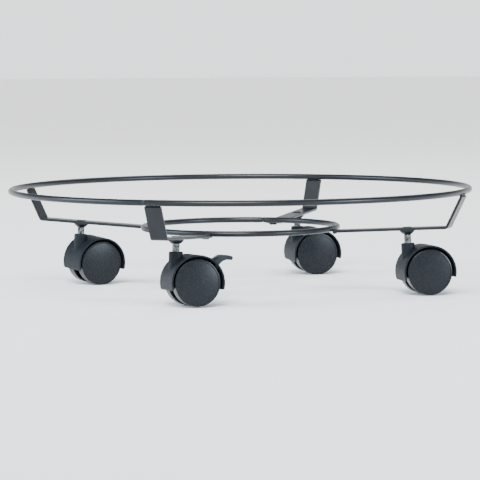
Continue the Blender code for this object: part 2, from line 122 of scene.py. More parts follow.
# Caster bodies. Hood and web are measured from the axle, sockets from the wheels' plane.
HOOD_RADIUS = 22.7 * MM
HOOD_WALL = 1.4 * MM
HOOD_HALF_WIDTH = 16.4 * MM
HOOD_CORNER = 2.5 * MM
HOOD_EDGE = 0.3 * MM
HOOD_REAR_DROP = 5.6 * MM
HOOD_FRONT_DROP = 6.5 * MM
WEB_HALF_WIDTH = 4.4 * MM
WEB_INSET = 0.6 * MM
WEB_END_ANGLE = math.radians(9.0)
WEB_DEPTH = 6.5 * MM
WEB_FOOT = 6.0 * MM
WEB_EDGE = 0.3 * MM
WELL_OVERLAP = 0.3 * MM
SOCKET_RADIUS = 5.8 * MM
SOCKET_TOP = 44.2 * MM
SOCKET_FLOOR = 32.0 * MM
SOCKET_EDGE = 0.9 * MM
SOCKET_ROOT = 28.8 * MM
SOCKET_BORE = 3.3 * MM
SOCKET_MOUTH_WIDENING = 1.2 * MM
SOCKET_MOUTH_ABOVE = 1.0 * MM
SOCKET_MOUTH_BELOW = 0.4 * MM
RING_POCKET = 4.0 * MM

# Brake lever, measured from the axle
PIVOT = Vector((10.0 * MM, 0.0, 13.0 * MM))
PIN_BORE = 1.5 * MM
LEVER_HUB_RADIUS = 3.0 * MM
LEVER_HUB_HALF_WIDTH = 3.0 * MM
TAB_HALF_WIDTH = 6.0 * MM
TAB_ROOT = Vector((16.1 * MM, 13.6 * MM))
TAB_RISE = math.radians(43.0)
TAB_RUN = 6.0 * MM
TAB_BEND_RADIUS = 10.0 * MM
TAB_DROOP = math.radians(10.0)
TAB_TAIL = 2.4 * MM
TAB_HALF_THICKNESS = 2.6 * MM
TAB_END_HALF_THICKNESS = 1.65 * MM
TAB_TIP = 1.2 * MM
TAB_EDGE = 0.5 * MM
TAB_STEPS = 64
TAB_TIP_STEPS = 6
NECK_ANGLES = (math.radians(80), math.radians(280))
NECK_LOWER = (17.4 * MM, 12.6 * MM)
NECK_UPPER = (15.6 * MM, 15.6 * MM)
RIB_COUNT = 5
RIB_SPACING = 1.45 * MM
RIB_START = 3.6 * MM
RIB_HEIGHT = 1.1 * MM
HOOD_SLOT_ANGLES = (math.radians(25.0), math.radians(51.0))
HOOD_SLOT_OVERCUT = 2.1 * MM
WEB_SLOT_ANGLES = (math.radians(20.0), math.radians(68.0))
WEB_SLOT_LOW = 7.6 * MM
WEB_SLOT_HIGH = 17.0 * MM
WEB_SLOT_CLEARANCE = 0.7 * MM
SLOT_GAP = 0.3 * MM

# Seams
OUTER_SEAM_ANGLE = math.radians(267.45)
INNER_SEAM_ANGLE = math.radians(96.5)
SEAM_HALF_LENGTH = 0.7 * MM
SEAM_DEPTH = 1.2 * MM
SEAM_SECTIONS = (-2.0, -1.0, -0.5, 0.5, 1.0, 2.0)  # in half lengths from the seam

# Weld beads. A bead is its half length as a share of the bar's width, and its radius.
LEG_INNER_BEAD = (0.42, 1.15 * MM)
LEG_OUTER_BEAD = (0.49, 1.2 * MM)
ARM_LOWER_BEAD = (0.26, 1.35 * MM)
ARM_UPPER_BEAD = (0.36, 0.85 * MM)
LEG_OUTER_BEAD_PLACE = (1.65 * MM, -1.75 * MM)  # from the outer ring's middle line
LEG_INNER_BEAD_GAP = 0.1 * MM
LEG_INNER_BEAD_RISE = 0.2 * MM
ARM_WELD_SETBACK = 0.2 * MM
ARM_LOWER_BEAD_PLACE = Vector((0.0, -1.1 * MM))
ARM_UPPER_BEAD_PLACE = Vector((0.3 * MM, 1.35 * MM))
ARM_LOWER_BEAD_SHIFT = 0.6 * MM
BEAD_STEPS = 26
BEAD_SIDES = 12
BEAD_END_SHARE = 0.08
BEAD_RIPPLE = 0.10
BEAD_RIPPLE_RATE = 34.0
BEAD_LUMP = 0.28
BEAD_LUMP_RATE = 5.0
FIRST_WELD_SEED = 3.0
SEED_STEP = 7.0

# How finely curves are divided
OUTER_RING_STEPS = 256
INNER_RING_STEPS = 144
ROD_SIDES = 20
TURNED_STEPS = 64
NUT_STEPS = 48
WHEEL_STEPS = 96
STEM_SIDES = 40
CROSS_BORE_STEPS = 32
HOOD_STEPS = 56
SLOT_STEPS = 12
WEB_SLOT_STEPS = 16
NECK_STEPS = 20


# ---------------------------------------------------------------- places from the frame

def ring_place(node):
    """Radius of a ring's middle line, its level, and its rod's radius."""
    low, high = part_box(node)
    rod = (high.z - low.z) / 2
    return high.x - rod, (high.z + low.z) / 2, rod


def frame_matrix(along, across, up, origin):
    """A frame from its three directions and its origin."""
    turn = Matrix((along, across, up)).transposed().to_4x4()
    return Matrix.Translation(origin) @ turn


def arm_matrix(side):
    """An arm's frame: origin on the stem axis in the middle of the bar, X outward along the bar."""
    swivel = JOINTS[f"swivel_{side}"]
    up = Vector(swivel["axis"])
    point = Vector(swivel["pos_m"])
    centre = point + up * (ARM_HEIGHT_AT_STEM - point.z) / up.z
    outward = Vector((centre.x, centre.y, 0.0)).normalized()
    across = up.cross(outward).normalized()
    return frame_matrix(across.cross(up), across, up, centre)


def caster_matrix(side):
    """A caster's frame, from the axes of its swivel and of its first wheel."""
    swivel = JOINTS[f"swivel_{side}"]
    roll = JOINTS[f"roll_{side}_a"]
    up = Vector(swivel["axis"])
    across = Vector(roll["axis"])
    along = across.cross(up)
    axle = Vector(roll["pos_m"])
    return frame_matrix(along, across, up, axle - along * TRAIL - up * WHEEL_RADIUS)


def trail():
    """How far the axle stands behind the stem axis."""
    swivel = JOINTS["swivel_front"]
    roll = JOINTS["roll_front_a"]
    along = Vector(roll["axis"]).cross(Vector(swivel["axis"]))
    return (Vector(roll["pos_m"]) - Vector(swivel["pos_m"])).dot(along)


TRAIL = trail()
OUTER_RING = ring_place("outer_ring")
INNER_RING = ring_place("inner_ring")
ARM_SLOPE = math.acos(JOINTS["swivel_right"]["axis"][2])
STEM_CIRCLE_RADIUS = arm_matrix("right").translation.x


# ---------------------------------------------------------------- mesh tools

def rounded(points, steps=3):
    """A line through (a, b, corner radius) points, with each corner that has a radius as an arc."""
    line = []
    for index, (a, b, radius) in enumerate(points):
        corner = Vector((a, b))
        if not radius:
            line.append(tuple(corner))
            continue
        before = (Vector(points[index - 1][:2]) - corner).normalized()
        after = (Vector(points[(index + 1) % len(points)][:2]) - corner).normalized()
        half = before.angle(after) / 2
        centre = corner + (before + after).normalized() * radius / math.sin(half)
        first = corner + before * radius / math.tan(half) - centre
        last = corner + after * radius / math.tan(half) - centre
        for step in range(steps + 1):
            line.append(tuple(centre + first.slerp(last, step / steps) * radius))
    return line


def arc(centre, radius, start, end, steps):
    """Points along an arc, both ends included."""
    angles = [start + (end - start) * step / steps for step in range(steps + 1)]
    return [(centre[0] + radius * math.cos(angle), centre[1] + radius * math.sin(angle))
            for angle in angles]


def turned(profile, axis="Z", steps=TURNED_STEPS, closed=False):
    """Spin (radius, place along the axis) points round Z or Y."""
    bm = bmesh.new()
    if axis == "Z":
        points = [(radius, 0.0, along) for radius, along in profile]
    else:
        points = [(0.0, along, -radius) for radius, along in profile]
    verts = [bm.verts.new(point) for point in points]
    edges = [bm.edges.new(pair) for pair in zip(verts, verts[1:])]
    if closed:
        edges.append(bm.edges.new((verts[-1], verts[0])))
    direction = (0, 0, 1) if axis == "Z" else (0, 1, 0)
    bmesh.ops.spin(bm, geom=verts + edges, axis=direction, cent=(0, 0, 0),
                   steps=steps, angle=math.tau, use_merge=True)
    bmesh.ops.remove_doubles(bm, verts=bm.verts, dist=1e-7)
    return bm


def swept(sections):
    """A closed solid through matching rings of points, with flat ends."""
    bm = bmesh.new()
    rings = [[bm.verts.new(point) for point in section] for section in sections]
    for ring, following in zip(rings, rings[1:]):
        for index in range(len(ring)):
            after = (index + 1) % len(ring)
            bm.faces.new((ring[index], ring[after], following[after], following[index]))
    bm.faces.new(rings[0])
    bm.faces.new(rings[-1][::-1])
    return bm


def extruded(outline, half_width):
    """A slab with its outline in X and Z and its width along Y."""
    return swept([[(x, y, z) for x, z in outline] for y in (-half_width, half_width)])


def soften(bm, width, angle=math.radians(50.0), segments=2):
    """Round every edge that is sharper than the angle."""
    bmesh.ops.recalc_face_normals(bm, faces=bm.faces)
    edges = [edge for edge in bm.edges if edge.is_manifold and edge.calc_face_angle() > angle]
    bmesh.ops.bevel(bm, geom=edges, offset=width, segments=segments, profile=0.5,
                    affect="EDGES", clamp_overlap=True)


def finished(bm, name):
    """A mesh from a bmesh, smooth but for its sharp edges. The bmesh is freed."""
    bmesh.ops.recalc_face_normals(bm, faces=bm.faces)
    mesh = bpy.data.meshes.new(name)
    bm.to_mesh(mesh)
    bm.free()
    mesh.shade_smooth()
    mesh.set_sharp_from_angle(angle=SHARP_ANGLE)
    return mesh


def combine(name, base, joined=(), cut=()):
    """Boolean union and difference of meshes, as one new mesh."""
    helpers = [bpy.data.objects.new(name, base)]
    bpy.context.scene.collection.objects.link(helpers[0])
    for operation, meshes in (("UNION", joined), ("DIFFERENCE", cut)):
        for mesh in meshes:
            helper = bpy.data.objects.new(name + "_tool", mesh)
            bpy.context.scene.collection.objects.link(helper)
            modifier = helpers[0].modifiers.new(operation, "BOOLEAN")
            modifier.operation = operation
            modifier.object = helper
            helpers.append(helper)
    graph = bpy.context.evaluated_depsgraph_get()
    result = bpy.data.meshes.new_from_object(helpers[0].evaluated_get(graph))
    result.name = name
    for helper in helpers:
        bpy.data.objects.remove(helper, do_unlink=True)
    result.shade_smooth()
    result.set_sharp_from_angle(angle=SHARP_ANGLE)
    return result


def place(name, mesh, matrix, body, slot_name, replaced=()):
    """A piece in its place: riding its body, with its slot's material, standing for CAD nodes."""
    mesh = mesh.copy()
    mesh.transform(matrix)
    mesh.materials.append(MATERIALS[slot_name])
    piece = bpy.data.objects.new(name, mesh)
    bpy.context.scene.collection.objects.link(piece)
    piece.modifiers.new("even_shading", "WEIGHTED_NORMAL").keep_sharp = True
    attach(piece, body)
    if replaced:
        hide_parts(*replaced)
    return piece


# ---------------------------------------------------------------- materials

COLOUR_NOISE_RANGE = (0.35, 0.65)
ROUGHNESS_NOISE_RANGE = (0.3, 0.7)


class Surface:
    """A Principled material whose colour, roughness and relief vary with noise."""

    def __init__(self, name, metallic=0.0, gloss=0.5):
        self.material = bpy.data.materials.new(name)
        self.material.use_nodes = True
        self.tree = self.material.node_tree
        self.shader = self.tree.nodes["Principled BSDF"]
        self.shader.inputs["Metallic"].default_value = metallic
        self.shader.inputs["Specular IOR Level"].default_value = gloss
        self.place = self.tree.nodes.new("ShaderNodeTexCoord").outputs["Object"]

    def noise(self, size, detail=3.0, stretch=(1.0, 1.0, 1.0)):
        """Noise with features of about the given size, in metres."""
        mapping = self.tree.nodes.new("ShaderNodeMapping")
        mapping.inputs["Scale"].default_value = stretch
        self.tree.links.new(self.place, mapping.inputs["Vector"])
        texture = self.tree.nodes.new("ShaderNodeTexNoise")
        texture.inputs["Scale"].default_value = 1.0 / size
        texture.inputs["Detail"].default_value = detail
        self.tree.links.new(mapping.outputs["Vector"], texture.inputs["Vector"])
        return texture.outputs["Fac"]

    def grain(self, size):
        """Rounded pits and bumps of about the given size, as on a spark-eroded mould."""
        texture = self.tree.nodes.new("ShaderNodeTexVoronoi")
        texture.feature = "SMOOTH_F1"
        texture.inputs["Scale"].default_value = 1.0 / size
        self.tree.links.new(self.place, texture.inputs["Vector"])
        return texture.outputs["Distance"]

    def colour(self, factor, dark, light):
        """Base colour between a dark and a light tone."""
        ramp = self.tree.nodes.new("ShaderNodeValToRGB")
        ramp.color_ramp.elements[0].position = COLOUR_NOISE_RANGE[0]
        ramp.color_ramp.elements[0].color = (*dark, 1.0)
        ramp.color_ramp.elements[1].position = COLOUR_NOISE_RANGE[1]
        ramp.color_ramp.elements[1].color = (*light, 1.0)
        self.tree.links.new(factor, ramp.inputs["Fac"])
        self.tree.links.new(ramp.outputs["Color"], self.shader.inputs["Base Color"])

    def roughness(self, factor, low, high):
        """Roughness between two values."""
        spread = self.tree.nodes.new("ShaderNodeMapRange")
        spread.inputs["From Min"].default_value = ROUGHNESS_NOISE_RANGE[0]
        spread.inputs["From Max"].default_value = ROUGHNESS_NOISE_RANGE[1]
        spread.inputs["To Min"].default_value = low
        spread.inputs["To Max"].default_value = high
        self.tree.links.new(factor, spread.inputs["Value"])
        self.tree.links.new(spread.outputs["Result"], self.shader.inputs["Roughness"])

    def relief(self, layers):
        """Bump from (height, depth in metres, strength) layers, coarse first."""
        normal = None
        for height, depth, strength in layers:
            bump = self.tree.nodes.new("ShaderNodeBump")
            bump.inputs["Distance"].default_value = depth
            bump.inputs["Strength"].default_value = strength
            self.tree.links.new(height, bump.inputs["Height"])
            if normal:
                self.tree.links.new(normal, bump.inputs["Normal"])
            normal = bump.outputs["Normal"]
        self.tree.links.new(normal, self.shader.inputs["Normal"])


def powder_coat():
    """Satin charcoal powder coat with its fine orange peel."""
    made = Surface("powder_coat", gloss=0.28)
    made.colour(made.noise(9 * MM), dark=(0.0045, 0.006, 0.008), light=(0.006, 0.0078, 0.0103))
    made.roughness(made.noise(2.5 * MM), low=0.29, high=0.33)
    orange_peel = made.noise(1.6 * MM, detail=1.0)
    powder = made.noise(0.25 * MM, detail=1.0)
    made.relief([(orange_peel, 0.012 * MM, 0.03), (powder, 0.008 * MM, 0.03)])
    return made.material


def moulded_plastic(name, dark, light, rough, gloss):
    """Black nylon from a finely spark-eroded mould."""
    made = Surface(name, gloss=gloss)
    made.colour(made.noise(6 * MM), dark, light)
    made.roughness(made.noise(1.6 * MM), low=rough - 0.05, high=rough + 0.06)
    waviness = made.noise(5 * MM, detail=1.0)
    made.relief([(waviness, 0.05 * MM, 0.25), (made.grain(0.32 * MM), 0.02 * MM, 0.08)])
    return made.material


def plated_steel(name, dark, light, rough, streak):
    """Clouded plating on steel; on the zinc stems the dark tones are painted dark reflection of the
    surroundings. A streak below 1 draws its marks out along that axis.
    """
    made = Surface(name, metallic=1.0)
    made.colour(made.noise(2.2 * MM), dark, light)
    made.roughness(made.noise(0.8 * MM, stretch=streak), low=rough - 0.07, high=rough + 0.1)
    marks = made.noise(0.5 * MM, detail=1.0, stretch=streak)
    made.relief([(marks, 0.006 * MM, 0.25)])
    return made.material


MATERIALS = {
    "powder_coat": powder_coat(),
    "body_plastic": moulded_plastic(
        "body_plastic", dark=(0.0048, 0.0066, 0.0092), light=(0.0068, 0.0092, 0.0126),
        rough=0.46, gloss=0.10),
    "wheel_plastic": moulded_plastic(
        "wheel_plastic", dark=(0.0044, 0.0058, 0.0077), light=(0.0058, 0.0075, 0.0097),
        rough=0.26, gloss=0.18),
    "lever_plastic": moulded_plastic(
        "lever_plastic", dark=(0.008, 0.0105, 0.013), light=(0.012, 0.0155, 0.019),
        rough=0.33, gloss=0.18),
    # Painted reflection: the stems' colours are set far darker than zinc's own, to paint in the
    # dark surroundings that they reflect.
    "zinc_steel": plated_steel(
        "zinc_steel", dark=(0.02, 0.022, 0.023), light=(0.17, 0.182, 0.18),
        rough=0.20, streak=(2.5, 2.5, 0.1)),
    "axle_steel": plated_steel(
        "axle_steel", dark=(0.42, 0.42, 0.42), light=(0.54, 0.54, 0.53),
        rough=0.34, streak=(4, 4, 4)),
    "spring_steel": plated_steel(
        "spring_steel", dark=(0.24, 0.24, 0.25), light=(0.36, 0.36, 0.36),
        rough=0.38, streak=(1, 1, 5)),
}


# ---------------------------------------------------------------- rings

def ring_mesh(name, size, seam_angle, steps):
    """A bent rod hoop. At the seam its butt weld is a short, uneven dip all round the rod."""
    radius, level, rod = size
    angles = [seam_angle + math.tau * step / steps for step in range(steps)]
    for offset in SEAM_SECTIONS:
        angles.append(seam_angle + offset * SEAM_HALF_LENGTH / radius)
    bm = bmesh.new()
    rings = []
    for angle in sorted(angles):
        off_seam = math.remainder(angle - seam_angle, math.tau) * radius / SEAM_HALF_LENGTH
        sink = SEAM_DEPTH * math.exp(-2.0 * off_seam ** 2)
        centre = Vector((math.cos(angle), math.sin(angle), 0.0))
        ring = []
        for side in range(ROD_SIDES):
            turn = math.tau * side / ROD_SIDES
            lump = 0.5 + noise.noise(Vector((turn * 2.0, seam_angle, 0.0)))
            reach = rod - sink * min(max(lump, 0.3), 1.0)
            ring.append(bm.verts.new(centre * (radius + reach * math.cos(turn))
                                     + Vector((0, 0, level + reach * math.sin(turn)))))
        rings.append(ring)
    for index, ring in enumerate(rings):
        following = rings[(index + 1) % len(rings)]
        for side in range(ROD_SIDES):
            after = (side + 1) % ROD_SIDES
            bm.faces.new((ring[side], ring[after], following[after], following[side]))
    return finished(bm, name)


# ---------------------------------------------------------------- arms and welds

def arm_line():
    """Middle line of an arm from its inner end to the top of its leg, as (x, z, heading)."""
    ring_radius, ring_level = OUTER_RING[:2]
    run = Vector((math.cos(ARM_SLOPE), math.sin(ARM_SLOPE)))
    leg = Vector((math.sin(LEG_LEAN), math.cos(LEG_LEAN)))
    outward = Vector((leg.y, -leg.x))
    beside_ring = (Vector((ring_radius, ring_level))
                   + outward * (LEG_FACE_OFFSET + BAR_THICKNESS / 2))
    stem = Vector((STEM_CIRCLE_RADIUS, ARM_HEIGHT_AT_STEM))
    offset = beside_ring - stem
    down = (offset.y * run.x - offset.x * run.y) / (leg.y * run.x - leg.x * run.y)
    corner = beside_ring - leg * down
    inner_radius = INNER_RING[0] + INNER_RING[2]
    start = stem + run * (inner_radius - stem.x) / run.x
    turn = math.pi / 2 - LEG_LEAN - ARM_SLOPE
    tangent = BEND_RADIUS * math.tan(turn / 2)
    line = [(start, ARM_SLOPE)]
    bend_centre = corner - run * tangent + Vector((-run.y, run.x)) * BEND_RADIUS
    for step in range(BEND_STEPS + 1):
        heading = ARM_SLOPE + turn * step / BEND_STEPS
        point = bend_centre + Vector((math.sin(heading), -math.cos(heading))) * BEND_RADIUS
        line.append((point, heading))
    line.append((beside_ring - leg * LEG_END_DROP, ARM_SLOPE + turn))
    return line


def arm_mesh():
    """Flat bar with rolled edges, bent once, with a hole for the weld nut's pilot."""
    half_width = BAR_WIDTH / 2
    half = BAR_THICKNESS / 2
    outline = rounded([(half_width, half, BAR_EDGE), (-half_width, half, BAR_EDGE),
                       (-half_width, -half, BAR_EDGE), (half_width, -half, BAR_EDGE)])
    sections = []
    for point, heading in arm_line():
        across = Vector((-math.sin(heading), math.cos(heading)))
        sections.append([(point.x + across.x * v, u, point.y + across.y * v) for u, v in outline])
    bar = swept(sections)
    soften(bar, BAR_END_EDGE, math.radians(60.0))
    deep = 2 * BAR_THICKNESS
    hole = turned([(0, deep), (ARM_HOLE_RADIUS, deep), (ARM_HOLE_RADIUS, -deep), (0, -deep)],
                  steps=STEM_SIDES)
    bmesh.ops.transform(hole, matrix=arm_matrix("right"), verts=hole.verts)
    return combine("arm", finished(bar, "bar"), cut=[finished(hole, "hole")])


def bead(bm, start, end, radius, seed):
    """A lumpy weld bead between two points, added to a bmesh as one closed tube."""
    direction = (end - start).normalized()
    side = direction.cross(Vector((0, 0, 1))).normalized()
    top = side.cross(direction)
    rings = []
    for step in range(BEAD_STEPS + 1):
        share = step / BEAD_STEPS
        swell = math.sqrt(max(1.0 - (2.0 * share - 1.0) ** 4, 0.0))
        taper = swell * (1.0 - BEAD_END_SHARE) + BEAD_END_SHARE
        ripple = 1.0 + BEAD_RIPPLE * math.sin(share * BEAD_RIPPLE_RATE + seed)
        ring = []
        for corner in range(BEAD_SIDES):
            turn = math.tau * corner / BEAD_SIDES
            spot = Vector((share * BEAD_LUMP_RATE + seed, math.cos(turn), math.sin(turn)))
            lump = 1.0 + BEAD_LUMP * noise.noise(spot)
            reach = radius * taper * ripple * lump
            ring.append(bm.verts.new(start.lerp(end, share) + side * reach * math.cos(turn)
                                     + top * reach * math.sin(turn)))
        rings.append(ring)
    for ring, following in zip(rings, rings[1:]):
        for corner in range(BEAD_SIDES):
            after = (corner + 1) % BEAD_SIDES
            bm.faces.new((ring[corner], ring[after], following[after], following[corner]))
    bm.faces.new(rings[0])
    bm.faces.new(rings[-1])


def weld_mesh(name, seed):
    """The welds of one arm, in the plane of the right arm: at its leg's top and its inner end."""
    bm = bmesh.new()
    top, heading = arm_line()[-1]
    leg = Vector((math.cos(heading), math.sin(heading)))
    outward = Vector((leg.y, -leg.x))
    ring_radius, ring_level = OUTER_RING[:2]
    inner = (top - outward * (BAR_THICKNESS / 2 + LEG_INNER_BEAD_GAP)
             + leg * LEG_INNER_BEAD_RISE)
    outer = Vector((ring_radius + LEG_OUTER_BEAD_PLACE[0], ring_level + LEG_OUTER_BEAD_PLACE[1]))
    end = arm_line()[0][0]
    joint = Vector((end.x - ARM_WELD_SETBACK, end.y))
    beads = [
        (inner, LEG_INNER_BEAD, 0.0),
        (outer, LEG_OUTER_BEAD, 0.0),
        (joint + ARM_LOWER_BEAD_PLACE, ARM_LOWER_BEAD, ARM_LOWER_BEAD_SHIFT),
        (joint + ARM_UPPER_BEAD_PLACE, ARM_UPPER_BEAD, 0.0),
    ]
    for index, (point, (share, radius), shift) in enumerate(beads):
        half = share * BAR_WIDTH
        start = Vector((point.x, shift - half, point.y))
        finish = Vector((point.x, shift + half, point.y))
        bead(bm, start, finish, radius, seed + SEED_STEP * index)
    return finished(bm, name)


def weld_nut_mesh():
    """A nut with a pilot in the arm's hole, a flange under the arm, and a cone down to its end."""
    seat = -BAR_THICKNESS / 2 - NUT_SEAT_GAP
    pilot_top = BAR_THICKNESS / 2 + NUT_PILOT_PROUD
    profile = rounded([
        (NUT_BORE, pilot_top, 0.15 * MM),
        (NUT_PILOT_RADIUS, pilot_top, 0.25 * MM),
        (NUT_PILOT_RADIUS, seat, 0),
        (NUT_FLANGE_RADIUS, seat, 0.25 * MM),
        (NUT_FLANGE_RADIUS, seat - NUT_RIM_SHARE * NUT_FLANGE_THICKNESS, 0.45 * MM),
        (NUT_NECK_RADIUS, seat - NUT_LENGTH, 0.5 * MM),
        (NUT_BORE, seat - NUT_LENGTH, 0.15 * MM),
    ])
    return finished(turned(profile, steps=NUT_STEPS, closed=True), "weld_nut")


# ---------------------------------------------------------------- stems

def stem_surface(level, angle):
    """Radius of the stem: plain shank with its ring groove below, M6 thread above."""
    if level < THREAD_START:
        return GROOVE_RADIUS if abs(level - GROOVE_LEVEL) < GROOVE_HALF else STEM_RADIUS
    turn = level / THREAD_PITCH - angle / math.tau
    ridge = abs(2.0 * (turn - math.floor(turn)) - 1.0)
    run_out = min((level - THREAD_START) / THREAD_RUN_OUT, 1.0)
    return STEM_RADIUS - THREAD_DEPTH * run_out * min(max(1.3 * ridge - 0.15, 0.0), 1.0)


def stem_mesh():
    """Shank and thread as one solid, chamfered at both ends."""
    levels = [STEM_FOOT, STEM_FOOT + 1.0 * MM]
    for side in (-1, 1):
        middle = GROOVE_LEVEL + side * GROOVE_HALF
        levels += [middle - GROOVE_EDGE, middle + GROOVE_EDGE]
    levels += [SOCKET_TOP]
    rows = round((STEM_TOP - THREAD_START) / (THREAD_PITCH / THREAD_ROWS_PER_PITCH))
    levels += [THREAD_START + (STEM_TOP - THREAD_START) * row / rows for row in range(rows + 1)]
    sections = []
    for level in sorted(levels):
        chamfer = min((STEM_TOP - level) + STEM_TOP_CHAMFER_RADIUS,
                      (level - STEM_FOOT) + STEM_FOOT_CHAMFER_RADIUS)
        ring = []
        for corner in range(STEM_SIDES):
            angle = math.tau * corner / STEM_SIDES
            radius = min(stem_surface(level, angle), chamfer)
            ring.append((radius * math.cos(angle), radius * math.sin(angle), level))
        sections.append(ring)
    return finished(swept(sections), "caster_stem")


# ---------------------------------------------------------------- casters

def wheel_mesh():
    """Crowned face inside a thin raised lip, tread, and an open cup with its hub behind."""
    cup_floor = WHEEL_FACE - WHEEL_FACE_THICKNESS
    cup = WHEEL_RADIUS - WHEEL_WALL
    tread = WHEEL_RADIUS - TREAD_RELIEF
    lip = tread - WHEEL_BEVEL
    face_edge = lip - LIP_WIDTH
    face = WHEEL_FACE - LIP_HEIGHT
    crown = [(face_edge * share, face - WHEEL_CROWN * share ** 2, 0) for share in CROWN_SHARES]
    lip_top = face - WHEEL_CROWN + LIP_HEIGHT
    profile = rounded(crown + [
        (face_edge + 0.5 * LIP_HEIGHT, lip_top, 0.1 * MM),
        (lip, lip_top, 0.15 * MM),
        (tread, lip_top - WHEEL_BEVEL_DROP, 0.2 * MM),
        (tread, WHEEL_INNER_FACE, 0.7 * MM),
        (cup, WHEEL_INNER_FACE, 0.3 * MM),
        (cup, cup_floor, 0.8 * MM),
        (HUB_RADIUS, cup_floor, 0.8 * MM),
        (HUB_RADIUS, WHEEL_INNER_FACE, 0.3 * MM),
        (AXLE_BORE, WHEEL_INNER_FACE, 0.2 * MM),
        (AXLE_BORE, AXLE_BORE_END, 0),
        (0, AXLE_BORE_END, 0),
    ])
    return finished(turned(profile, axis="Y", steps=WHEEL_STEPS), "wheel")


def hood_shell():
    """The curved cover over both wheels, centred on the axle, with rounded corners and edges."""
    inner_radius = HOOD_RADIUS - HOOD_WALL
    rear = -math.asin(HOOD_REAR_DROP / HOOD_RADIUS)
    front = math.pi + math.asin(HOOD_FRONT_DROP / HOOD_RADIUS)
    sections = []
    for step in range(HOOD_STEPS + 1):
        angle = rear + (front - rear) * step / HOOD_STEPS
        section = []
        for radius, side in ((HOOD_RADIUS, -1), (HOOD_RADIUS, 1),
                             (inner_radius, 1), (inner_radius, -1)):
            section.append((radius * math.cos(angle), side * HOOD_HALF_WIDTH,
                            radius * math.sin(angle)))
        sections.append(section)
    bm = swept(sections)
    corners = []
    for edge in bm.edges:
        one, two = (vert.co for vert in edge.verts)
        across_wall = abs((one - two).length - HOOD_WALL) < TOLERANCE
        at_end = min(one.z, two.z) < -HOOD_REAR_DROP / 2
        ends = all(len(vert.link_edges) == 3 for vert in edge.verts)
        if across_wall and at_end and ends:
            corners.append(edge)
    bmesh.ops.bevel(bm, geom=corners, offset=HOOD_CORNER, segments=6, profile=0.5,
                    affect="EDGES")
    soften(bm, HOOD_EDGE, segments=3)
    bmesh.ops.remove_doubles(bm, verts=bm.verts, dist=SMALLEST_EDGE)
    bmesh.ops.dissolve_degenerate(bm, dist=SMALLEST_EDGE, edges=bm.edges)
    return finished(bm, "hood_shell")


def web_slab():
    """The wall between the wheels, which carries the axle and the foot of the stem."""
    outline = arc((0, 0), HOOD_RADIUS - WEB_INSET, -WEB_END_ANGLE, math.pi + WEB_END_ANGLE,
                  HOOD_STEPS)
    outline += [(-WEB_FOOT, -WEB_DEPTH), (WEB_FOOT, -WEB_DEPTH)]
    bm = extruded(outline, WEB_HALF_WIDTH)
    soften(bm, WEB_EDGE)
    return finished(bm, "web")


def socket_boss():
    """The upright socket for the stem, from its top down into the hood."""
    top = SOCKET_TOP - WHEEL_RADIUS
    root = SOCKET_ROOT - WHEEL_RADIUS
    profile = rounded([(0, top, 0), (SOCKET_RADIUS, top, SOCKET_EDGE),
                       (SOCKET_RADIUS, root, 0), (0, root, 0)], steps=4)
    bm = turned(profile)
    bmesh.ops.translate(bm, vec=(-TRAIL, 0, 0), verts=bm.verts)
    return finished(bm, "socket_boss")


def wheel_well(side):
    """The space that a wheel turns in, which the boss must not enter. It reaches a little into the
    wall and the web, so that the boss ends inside them."""
    inner = side * (WEB_HALF_WIDTH - WELL_OVERLAP)
    outer = side * CUTTER_REACH
    radius = HOOD_RADIUS - HOOD_WALL + WELL_OVERLAP
    profile = [(0, inner), (radius, inner), (radius, outer), (0, outer)]
    return finished(turned(profile, axis="Y", steps=WHEEL_STEPS), "wheel_well")


def stem_bore():
    """The socket's bore, wider at its mouth, with the pocket that the retaining ring sits in."""
    level = GROOVE_LEVEL - WHEEL_RADIUS
    top = SOCKET_TOP - WHEEL_RADIUS
    floor = SOCKET_FLOOR - WHEEL_RADIUS
    profile = [(0, top + SOCKET_MOUTH_ABOVE),
               (SOCKET_BORE + SOCKET_MOUTH_WIDENING, top + SOCKET_MOUTH_ABOVE),
               (SOCKET_BORE, top - SOCKET_MOUTH_BELOW),
               (SOCKET_BORE, level + GROOVE_HALF), (RING_POCKET, level + GROOVE_HALF),
               (RING_POCKET, level - GROOVE_HALF), (SOCKET_BORE, level - GROOVE_HALF),
               (SOCKET_BORE, floor), (0, floor)]
    bm = turned(profile, steps=STEM_SIDES)
    bmesh.ops.translate(bm, vec=(-TRAIL, 0, 0), verts=bm.verts)
    return finished(bm, "stem_bore")


def cross_bore(radius, centre=(0, 0)):
    """A hole along Y through the web, at a place in X and Z from the axle."""
    half = 2 * WEB_HALF_WIDTH
    bm = turned([(0, half), (radius, half), (radius, -half), (0, -half)], axis="Y",
                steps=CROSS_BORE_STEPS)
    bmesh.ops.translate(bm, vec=(centre[0], 0, centre[1]), verts=bm.verts)
    return finished(bm, "cross_bore")


def brake_slots():
    """A wide slot through the hood for the tab, and a narrow one in the web for the lever's hub."""
    inner_radius = HOOD_RADIUS - HOOD_WALL
    outside = arc((0, 0), HOOD_RADIUS + HOOD_WALL, *HOOD_SLOT_ANGLES, SLOT_STEPS)
    inside = arc((0, 0), inner_radius - HOOD_SLOT_OVERCUT, *HOOD_SLOT_ANGLES, SLOT_STEPS)
    hood_slot = extruded(outside + inside[::-1], TAB_HALF_WIDTH + SLOT_GAP)
    back = PIVOT.x - LEVER_HUB_RADIUS - WEB_SLOT_CLEARANCE
    rim = arc((0, 0), inner_radius - SLOT_GAP, *WEB_SLOT_ANGLES, WEB_SLOT_STEPS)
    web_slot = extruded([(back, WEB_SLOT_LOW)] + rim + [(back, WEB_SLOT_HIGH)],
                        LEVER_HUB_HALF_WIDTH + SLOT_GAP)
    return [finished(hood_slot, "hood_slot"), finished(web_slot, "web_slot")]


